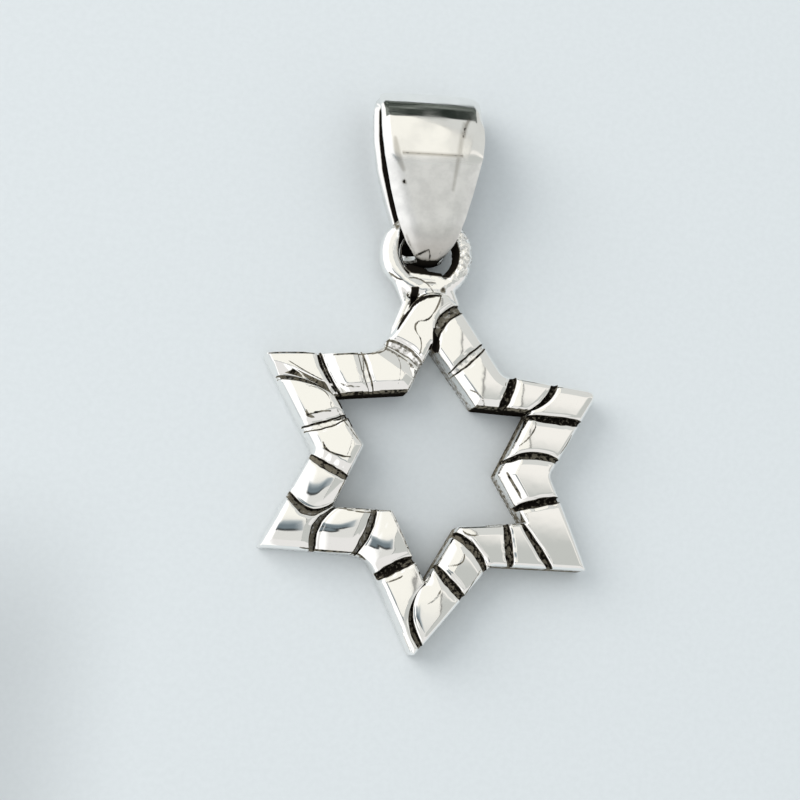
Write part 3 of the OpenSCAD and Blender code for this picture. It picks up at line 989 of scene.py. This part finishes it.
def cone(start, end, radius_start, radius_end, sides=24):
    """Closed cone between two points, with a rounded start."""
    start, end = Vector(start), Vector(end)
    axis = (end - start).normalized()
    beside = axis.orthogonal().normalized()
    beyond = axis.cross(beside)
    cap = np.linspace(0.15, math.pi / 2, 8)
    steps = [(-radius_start * math.cos(a), radius_start * math.sin(a)) for a in cap]
    steps.append(((end - start).length, radius_end))
    points, faces = [tuple(start - axis * radius_start)], []
    for where, radius in steps:
        for turn in np.arange(sides) * 2 * math.pi / sides:
            out = beside * math.cos(turn) + beyond * math.sin(turn)
            points.append(tuple(start + axis * where + out * radius))
    points.append(tuple(end))
    last = len(points) - 1
    tail = last - sides
    for k in range(sides):
        ahead = (k + 1) % sides
        faces.append((0, 1 + ahead, 1 + k))
        for row in range(1, tail, sides):
            faces.append((row + k, row + ahead, row + sides + ahead, row + sides + k))
        faces.append((tail + k, tail + ahead, last))
    return points, faces


def ring_blank(ring):
    """Points and faces of the wire and of each drop of solder, in mm from the ring's middle."""
    mm = in_mm(ring, "ring_r", "wire_r", "lobe_r", "fill_r")
    parts = [torus(mm["ring_r"], mm["wire_r"])]
    for row in SOLDER:
        parts.append(cone(row[:3], row[3:6], row[6] * mm["lobe_r"], row[7] * mm["lobe_r"]))
    parts.append(cone(*FILL_ENDS, mm["fill_r"], mm["fill_r"]))
    points, faces = [], []
    for own_points, own_faces in parts:
        faces += [[i + len(points) for i in face] for face in own_faces]
        points += [tuple(p) for p in own_points]
    return points, faces


def melt(obj, voxel):
    """Blends the wire and the solder into one smooth surface."""
    blend = obj.modifiers.new("blend", "REMESH")
    blend.mode = "VOXEL"
    blend.voxel_size = voxel
    soften = obj.modifiers.new("soften", "SMOOTH")
    soften.factor = 0.5
    soften.iterations = 6
    return keep_result(obj)


def read_vertices(mesh, key):
    values = np.zeros(len(mesh.vertices) * 3)
    mesh.vertices.foreach_get(key, values)
    return values.reshape(-1, 3)


def rough_side(x, y):
    """The right side of the ring, which was left as cast."""
    return fade(x, 0.2, 1.2) * fade(y, -1.6, -0.8)


def ring_oxide_and_shade(ring, here, seams):
    """Oxide on the ring, and painted shade in its hollow, slot and notch, at points in mm from its middle."""
    x, y, z = here.T
    hollow_r = ring.ring_r / MM - HOLLOW_INSET + HOLLOW_LEAN * np.clip(x, 0, 1)
    hollow = fade(np.hypot(x, y), hollow_r, hollow_r - HOLLOW_SOFT)
    hollow *= HOLLOW_BLACK * fade(y, HOLLOW_FOOT, HOLLOW_FOOT + HOLLOW_SOFT)
    slot_x = abs(x - SLOT_X + SLOT_TILT * (y - SLOT_Y))
    slot_y = abs(y - SLOT_Y - SLOT_TILT * (x - SLOT_X))
    slot = SLOT_BLACK * fade(slot_x, SLOT_HALF_W, SLOT_HALF_W - SLOT_SOFT_W)
    slot *= fade(slot_y, SLOT_HALF_H, SLOT_HALF_H - SLOT_SOFT_H)
    notch = np.clip(1.2 - np.hypot(x - NOTCH_X, y - NOTCH_Y) / NOTCH_R, 0, 1)
    fleck = 1.3 - np.hypot((x - FLECK_X) / FLECK_W, (y - FLECK_Y) / FLECK_H) ** 2
    fleck = FLECK_BLACK * np.clip(fleck, 0, 1)
    everywhere = np.full(len(x), OPEN_OXIDE)
    oxide_and_shade = np.max([ROUGH_OXIDE * rough_side(x, y), hollow, slot, notch, fleck, seams, everywhere], 0)
    return np.where(z > UNDER_Z, oxide_and_shade, UNDER_BLACKNESS)


def cast_surface(ring, here, out):
    """The ring's points with the bulge of its left side, and the grain of its rough right side."""
    x, y, _ = here.T
    grain = np.array([
        fractal(Vector((*p[:2], p[2] + ring.seed)) * GRAIN_SCALE, 0.6, 2.0, 4) for p in here])
    moved = here + out * (grain * (POLISHED_GRAIN + CAST_GRAIN * rough_side(x, y)))[:, None]
    moved[:, 0] -= LEFT_BULGE * fade(x, -1.2, -2.0) * fade(abs(y + 0.2), 1.7, 1.0)
    return moved


class PENDANT_OT_ring(bpy.types.Operator):
    """Build the ring and the solder that joins it to the top tip"""

    bl_idname = "pendant.ring"
    bl_label = "Ring and Solder"

    def execute(self, context):
        ring = context.scene.pendant_ring
        made = new_object("star_ring", *ring_blank(ring))
        mesh = melt(made, ring.voxel / MM)
        here, out = read_vertices(mesh, "co"), read_vertices(mesh, "normal")
        place = np.array(ring.place) / MM
        place[:2] += row_shift(context.scene.pendant_band)
        plan = here[:, :2] + place[:2]
        seams = seam_ink(
            plan, SEAMS, context.scene.pendant_stage, place[2] + RING_SEAM_Z, RING_SEAM_SOFT)
        add_attribute(mesh, "oxide_and_shade", ring_oxide_and_shade(ring, here, seams))
        mesh.vertices.foreach_set("co", cast_surface(ring, here, out).ravel())
        mesh.transform(Matrix.Translation(place))
        mesh.transform(Matrix.Scale(MM, 4))
        mesh.polygons.foreach_set("use_smooth", [True] * len(mesh.polygons))
        mesh.materials.append(bpy.data.objects["star_band"].data.materials[0])
        settle(made, "star")
        return {"FINISHED"}


def bail_silver(finish):
    """Silver with a soft burnish, a darkened end, and painted shade below that end and inside the strap."""
    material, tree, shader = new_material("bail_silver", finish.silver, finish.satin)
    tarnish_and_shade, matt = read(tree, "tarnish_and_shade"), read(tree, "matt")
    patches = ramp(tree, noise(tree, PATCH_SCALE, 4), 0.35, 0.7)
    clouds = times(tree, ramp(tree, noise(tree, CLOUD_SCALE, 5, roughness=0.6), 0.35, 0.65), matt)
    worn = plus(tree, times(tree, patches, 0.22), times(tree, clouds, 0.4))
    face = mix_colour(tree, worn, finish.silver, finish.dull)
    face = mix_colour(tree, calc(tree, "MULTIPLY", tarnish_and_shade, 1.2, clamp=True), face, finish.oxide_worn)
    burnish = mix_value(tree, matt, mix_value(tree, patches, finish.polish, finish.satin), finish.matt)
    coat(tree, shader, specked(tree, tarnish_and_shade, 0.8, 0.50, 0.72), face, finish.oxide_and_shade, burnish)
    stretched = put(tree, "ShaderNodeMapping", {
        "Vector": put(tree, "ShaderNodeTexCoord").outputs["Object"], "Rotation": (0, 0, math.radians(8)),
        "Scale": (0.12, 1, 1)}).outputs[0]
    streaks = bump(tree, 0.5, 0.000004, noise(tree, STREAK_SCALE, 3, stretched))
    waves = bump(tree, 0.4, 0.000006, noise(tree, BAIL_WAVE_SCALE, 3), streaks)
    tree.links.new(waves, shader.inputs["Normal"])
    return material


def bail_strap(bail):
    """Points round each strap section, in mm from its closed end, their tarnish, painted shade and dullness.
    """
    mm = in_mm(bail, "length", "depth", "width", "strap_t", "bevel_w", "bevel_drop", "dome", "edge_thinning")
    outline, soft = BAIL_SIDE[:, :2] * [mm["length"], mm["depth"]], BAIL_SIDE[:, 2]
    place = np.arange(len(outline) * SIDE_STEPS) / SIDE_STEPS
    along, high = rounded_at(outline, soft, place).T
    on = rounded_at(outline, soft, place + HAIR) - rounded_at(outline, soft, place - HAIR)
    on /= np.linalg.norm(on, axis=1)[:, None]
    # the strap is wider at the closed end of its back and along its face
    at_back = fade(high / mm["depth"], 0.4, 0.15) * fade(along, 1.6, 0)
    at_front = fade(high, 1.5, 2.0) * fade(along, 0, 1) * fade(along, 7.5, 6.0)
    half = np.interp(along, BAIL_TAPER[:, 0] * mm["length"], BAIL_TAPER[:, 1] * mm["width"] / 2)
    half += BACK_WIDENING * at_back + FACE_WIDENING * at_front
    # its border widens down the face, and its end is darkened on the face and painted black below it,
    # as shade
    border = np.minimum(mm["bevel_w"] * (0.4 + 0.6 * fade(place, 4.4, 6.0)), half * 0.6)
    end_darkening_and_shade = np.maximum(fade(high, 2.1, 1.7), END_DARKENING * (high > 1.2)) * fade(along, 1.9, 0.6)
    dull = FACE_DULL * fade(place, CREASE_PLACE, CREASE_PLACE + 0.2)
    crease = CREASE_BLACK * np.exp(-((place - CREASE_PLACE) / CREASE_W) ** 2)

    def face_drop(side):
        roll = bevel(half * (1 - abs(side)), border, mm["bevel_drop"] * border / mm["bevel_w"], 1.9)
        return roll - mm["dome"] * (1 - side ** 2)

    # each column: x, depth below the outline, tarnish and painted shade, and dullness
    inner_edge, outer_edge = mm["strap_t"] - mm["edge_thinning"], face_drop(1)
    edge = [inner_edge + (outer_edge - inner_edge) * part for part in np.linspace(0, 1, 6)[1:-1]]
    columns = []
    # the inside of the strap, painted black as shade over most of its width
    for side in -np.cos(np.linspace(0, math.pi, 41)):
        thinning = mm["edge_thinning"] * fade(abs(side), INSIDE_SHARE, 1) ** 1.5
        columns.append((half * side, mm["strap_t"] - thinning, float(abs(side) < INSIDE_SHARE), INSIDE_DULL))
    for drop in edge:
        columns.append((half, drop, EDGE_DARKENING * end_darkening_and_shade, dull))
    for side in np.cos(np.linspace(0, math.pi, 81)):
        creased = crease * (abs(side - CREASE_MIDDLE) < CREASE_HALF)
        columns.append((half * side, face_drop(side), np.maximum(creased, end_darkening_and_shade), dull))
    for drop in reversed(edge):
        columns.append((-half, drop, EDGE_DARKENING * end_darkening_and_shade, dull))
    points = np.stack([
        np.stack([x - BACK_SHIFT * at_back, along - on[:, 1] * drop, high + on[:, 0] * drop], -1)
        for x, drop, _, _ in columns], 1)
    tarnish_and_shade, matt = (
        np.stack([column[kind] * np.ones(len(place)) for column in columns], 1) for kind in (2, 3))
    return points, tarnish_and_shade, matt


class PENDANT_OT_bail(bpy.types.Operator):
    """Build the tapered bail"""

    bl_idname = "pendant.bail"
    bl_label = "Bail"

    def execute(self, context):
        bail = context.scene.pendant_bail
        mm = in_mm(bail, "depth", "dome", "foot_y")
        points, tarnish_and_shade, matt = bail_strap(bail)
        shift = row_shift(context.scene.pendant_band)
        ring_x = context.scene.pendant_ring.place[0] / MM
        foot = Vector((ring_x + shift[0], mm["foot_y"] + shift[1], mm["dome"]))
        setting = Matrix.Translation(foot) @ Matrix.Rotation(bail.turn, 4, "Z")
        flat = points.reshape(-1, 3)
        plan = flat[:, :2] @ np.array(setting)[:2, :2].T + np.array(foot)[:2]
        seams = seam_ink(
            plan, BAIL_SEAMS, context.scene.pendant_stage, mm["depth"] * BAIL_SEAM_Z, BAIL_SEAM_SOFT)
        seams *= flat[:, 2] > mm["depth"] * FACE_FROM
        made = new_object("bail_strap", flat, loop_faces(*points.shape[:2], turned=True), {
            "tarnish_and_shade": np.maximum(tarnish_and_shade.ravel(), seams), "matt": matt})
        made.data.transform(setting)
        made.data.transform(Matrix.Scale(MM, 4))
        made.data.materials.append(bail_silver(context.scene.pendant_finish))
        settle(made, "bail")
        return {"FINISHED"}


def paper(stage):
    """Faintly mottled paper, a little darker inside the star and far to its lower left."""
    material, tree, shader = new_material("paper", stage.paper, 0.8, metallic=0.0)
    shader.inputs["Specular IOR Level"].default_value = 0.2
    cloud = ramp(tree, noise(tree, PAPER_SCALE, 3), 0.25, 0.75)
    tone = mix_colour(tree, cloud, tuple(c * PAPER_MOTTLE for c in stage.paper), stage.paper)
    spot = put(tree, "ShaderNodeTexCoord").outputs["Object"]
    away = put(
        tree, "ShaderNodeVectorMath", {0: spot, 1: STAR_SHADE_AT}, operation="DISTANCE").outputs["Value"]
    x, y, _ = put(tree, "ShaderNodeSeparateXYZ", {0: spot}).outputs
    corner = times(tree, ramp(tree, x, *CORNER_SHADE_X), ramp(tree, y, *CORNER_SHADE_Y))
    inside = ramp(tree, away, STAR_SHADE_START, STAR_SHADE_FULL)
    for shade, strength in ((inside, STAR_SHADE), (corner, CORNER_SHADE)):
        tone = mix_colour(tree, times(tree, shade, strength), tone, (0, 0, 0))
    tree.links.new(tone, shader.inputs["Base Color"])
    return material


def studio_world(stage):
    """Light tent: plain soft light on the paper, and the cards that polished silver mirrors."""
    world = bpy.data.worlds.new("tent")
    world.use_nodes = True
    tree = world.node_tree
    tree.nodes.clear()
    spot = put(tree, "ShaderNodeTexCoord").outputs["Generated"]
    x, y, z = put(tree, "ShaderNodeSeparateXYZ", {0: spot}).outputs
    # how far right and how far ahead a ray goes for each step up
    climb = calc(tree, "MAXIMUM", z, 0.03)
    right, ahead = calc(tree, "DIVIDE", x, climb), calc(tree, "DIVIDE", y, climb)

    def within(value, low, high, soft):
        return times(tree, ramp(tree, value, low - soft, low), ramp(tree, value, high + soft, high))

    tone = mix_colour(tree, ramp(tree, ahead, -0.12, 0.12), TENT_BEHIND, TENT_AHEAD)
    side = mix_colour(tree, ramp(tree, ahead, 0.08, 0.20), SIDE_GREY, SIDE_WARM)
    side = mix_colour(tree, ramp(tree, ahead, 0.255, 0.335), side, SIDE_FAR)
    # streaks in the dark card far ahead, which the fold of the bail mirrors
    layers = put(tree, "ShaderNodeCombineXYZ", {0: times(tree, x, 5.0), 2: times(tree, z, 16.0)}).outputs[0]
    streak = ramp(tree, noise(tree, 1.0, 2, layers), 0.46, 0.62)
    fold = mix_colour(tree, streak, FOLD_DARK, FOLD_STREAK)
    low = times(tree, ramp(tree, z, 0.33, 0.29), ramp(tree, z, -0.12, -0.04))
    fold_area = times(tree, low, times(tree, ramp(tree, y, 0.55, 0.7), within(x, -0.34, 0.32, 0.05)))
    for factor, card in (
            (ramp(tree, right, 0.272, 0.284), side), (within(right, 0.271, 0.276, 0.004), SIDE_EDGE),
            (ramp(tree, ahead, -0.36, -0.42), NEAR_CARD), (ramp(tree, right, -0.24, -0.40), LEFT_CARD),
            (fold_area, fold)):
        tone = mix_colour(tree, factor, tone, card)
    path = put(tree, "ShaderNodeLightPath").outputs
    light = tuple(stage.ambient * c for c in TENT_LIGHT)
    plain = mix_colour(tree, path["Is Camera Ray"], light, TENT_SEEN)
    seen = mix_colour(tree, path["Is Glossy Ray"], plain, tone)
    back = put(tree, "ShaderNodeBackground", {"Color": seen, "Strength": 1.0})
    put(tree, "ShaderNodeOutputWorld", {"Surface": back.outputs[0]})
    bpy.context.scene.world = world


def arm_material():
    """Glow of the camera and its arm, which fades out towards the edges of its card."""
    material = bpy.data.materials.new("camera")
    material.use_nodes = True
    tree = material.node_tree
    tree.nodes.clear()
    high, wide = read(tree, "rise"), read(tree, "across")
    tint = mix_colour(tree, ramp(tree, high, -0.1, 0.7), ARM_LOW, ARM_HIGH)
    tint = mix_colour(tree, ramp(tree, high, -0.4, -0.75), tint, ARM_EDGE)
    tint = mix_colour(tree, ramp(tree, wide, 0.3, 0.9), tint, ARM_RIGHT)
    cover = ramp(tree, high, 1.0, 0.45)
    for value, bare, full in ((high, -1.0, -0.8), (wide, 1.0, 0.75), (wide, -1.0, -0.8)):
        cover = times(tree, cover, ramp(tree, value, bare, full))
    glow = put(tree, "ShaderNodeEmission", {"Color": tint, "Strength": 1.0})
    clear = put(tree, "ShaderNodeBsdfTransparent")
    both = put(tree, "ShaderNodeMixShader", {0: cover, 1: clear.outputs[0], 2: glow.outputs[0]})
    put(tree, "ShaderNodeOutputMaterial", {"Surface": both.outputs[0]})
    return material


def camera_card(stage, eye, right, up):
    """The dark camera and its arm, which only reflections show."""
    steps = np.linspace(-1, 1, CARD_STEPS)
    across, rise = (grid.ravel() for grid in np.meshgrid(steps, steps, indexing="ij"))
    points = [tuple(eye + right * (a * stage.card_w + stage.card_x)
                    + up * (r * stage.card_h + max(0, -a) ** 2 * stage.card_bow))
              for a, r in zip(across, rise)]
    faces = [(start + j, start + j + 1, start + j + 1 + CARD_STEPS, start + j + CARD_STEPS)
             for start in range(0, CARD_STEPS * (CARD_STEPS - 1), CARD_STEPS) for j in range(CARD_STEPS - 1)]
    card = new_object("camera_card", points, faces, {"across": across, "rise": rise})
    card.data.materials.append(arm_material())
    for ray in ("camera", "diffuse", "shadow", "transmission", "volume_scatter"):
        setattr(card, "visible_" + ray, False)


class PENDANT_OT_stage(bpy.types.Operator):
    """Lay the paper, set the light and place the camera"""

    bl_idname = "pendant.stage"
    bl_label = "Stage"

    def execute(self, context):
        stage = context.scene.pendant_stage
        corners = ((-1, -1), (1, -1), (1, 1), (-1, 1))
        points = [(x * PAPER_HALF, y * PAPER_HALF, -PAPER_DROP) for x, y in corners]
        floor = new_object("paper", points, [(0, 1, 2, 3)])
        floor.data.materials.append(paper(stage))
        studio_world(stage)
        key = bpy.data.lights.new("key", "AREA")
        key.shape = "DISK"
        key.size = KEY_SIZE
        key.energy = KEY_POWER * stage.key
        key.color = KEY_COLOUR
        lamp = bpy.data.objects.new("key", key)
        context.scene.collection.objects.link(lamp)
        where = Vector(KEY_PLACE)
        lamp.matrix_world = Matrix.Translation(where) @ where.to_track_quat("Z", "Y").to_matrix().to_4x4()
        lamp.visible_glossy = False
        right, up, back = camera_axes(stage)
        eye = Vector(stage.aim) + back * stage.distance
        data = bpy.data.cameras.new("photo")
        data.lens = stage.lens
        data.sensor_width = SENSOR_W
        data.clip_start = MM
        camera = bpy.data.objects.new("photo", data)
        context.scene.collection.objects.link(camera)
        camera.matrix_world = Matrix.Translation(eye) @ Matrix((right, up, back)).transposed().to_4x4()
        context.scene.camera = camera
        camera_card(stage, eye + back * CARD_BEHIND * MM, right, up)
        context.scene.view_settings.view_transform = "Standard"
        return {"FINISHED"}


class PENDANT_PT_panel(bpy.types.Panel):
    """Lists the pendant's pieces."""

    bl_label = "Star Pendant"
    bl_idname = "PENDANT_PT_panel"
    bl_space_type = "VIEW_3D"
    bl_region_type = "UI"
    bl_category = "Pendant"

    def draw(self, context):
        for operator in OPERATORS:
            self.layout.operator(operator.bl_idname)
        for name in GROUPS:
            box = self.layout.box()
            box.label(text=name.replace("_", " ").capitalize())
            group = getattr(context.scene, name)
            for key in group.bl_rna.properties.keys():
                if key not in ("rna_type", "name"):
                    box.prop(group, key)


GROUPS = {
    "pendant_band": PendantBand,
    "pendant_ring": PendantRing,
    "pendant_bail": PendantBail,
    "pendant_finish": PendantFinish,
    "pendant_stage": PendantStage,
}
OPERATORS = (PENDANT_OT_band, PENDANT_OT_ring, PENDANT_OT_bail, PENDANT_OT_stage)
CLASSES = (*GROUPS.values(), *OPERATORS, PENDANT_PT_panel)


def register():
    for cls in CLASSES:
        bpy.utils.register_class(cls)
    for name, group in GROUPS.items():
        setattr(bpy.types.Scene, name, PointerProperty(type=group))


def unregister():
    for name in GROUPS:
        delattr(bpy.types.Scene, name)
    for cls in reversed(CLASSES):
        bpy.utils.unregister_class(cls)


def main():
    register()
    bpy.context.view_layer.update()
    bpy.ops.pendant.band()
    bpy.ops.pendant.ring()
    bpy.ops.pendant.bail()
    bpy.ops.pendant.stage()


if __name__ == "__main__":
    main()
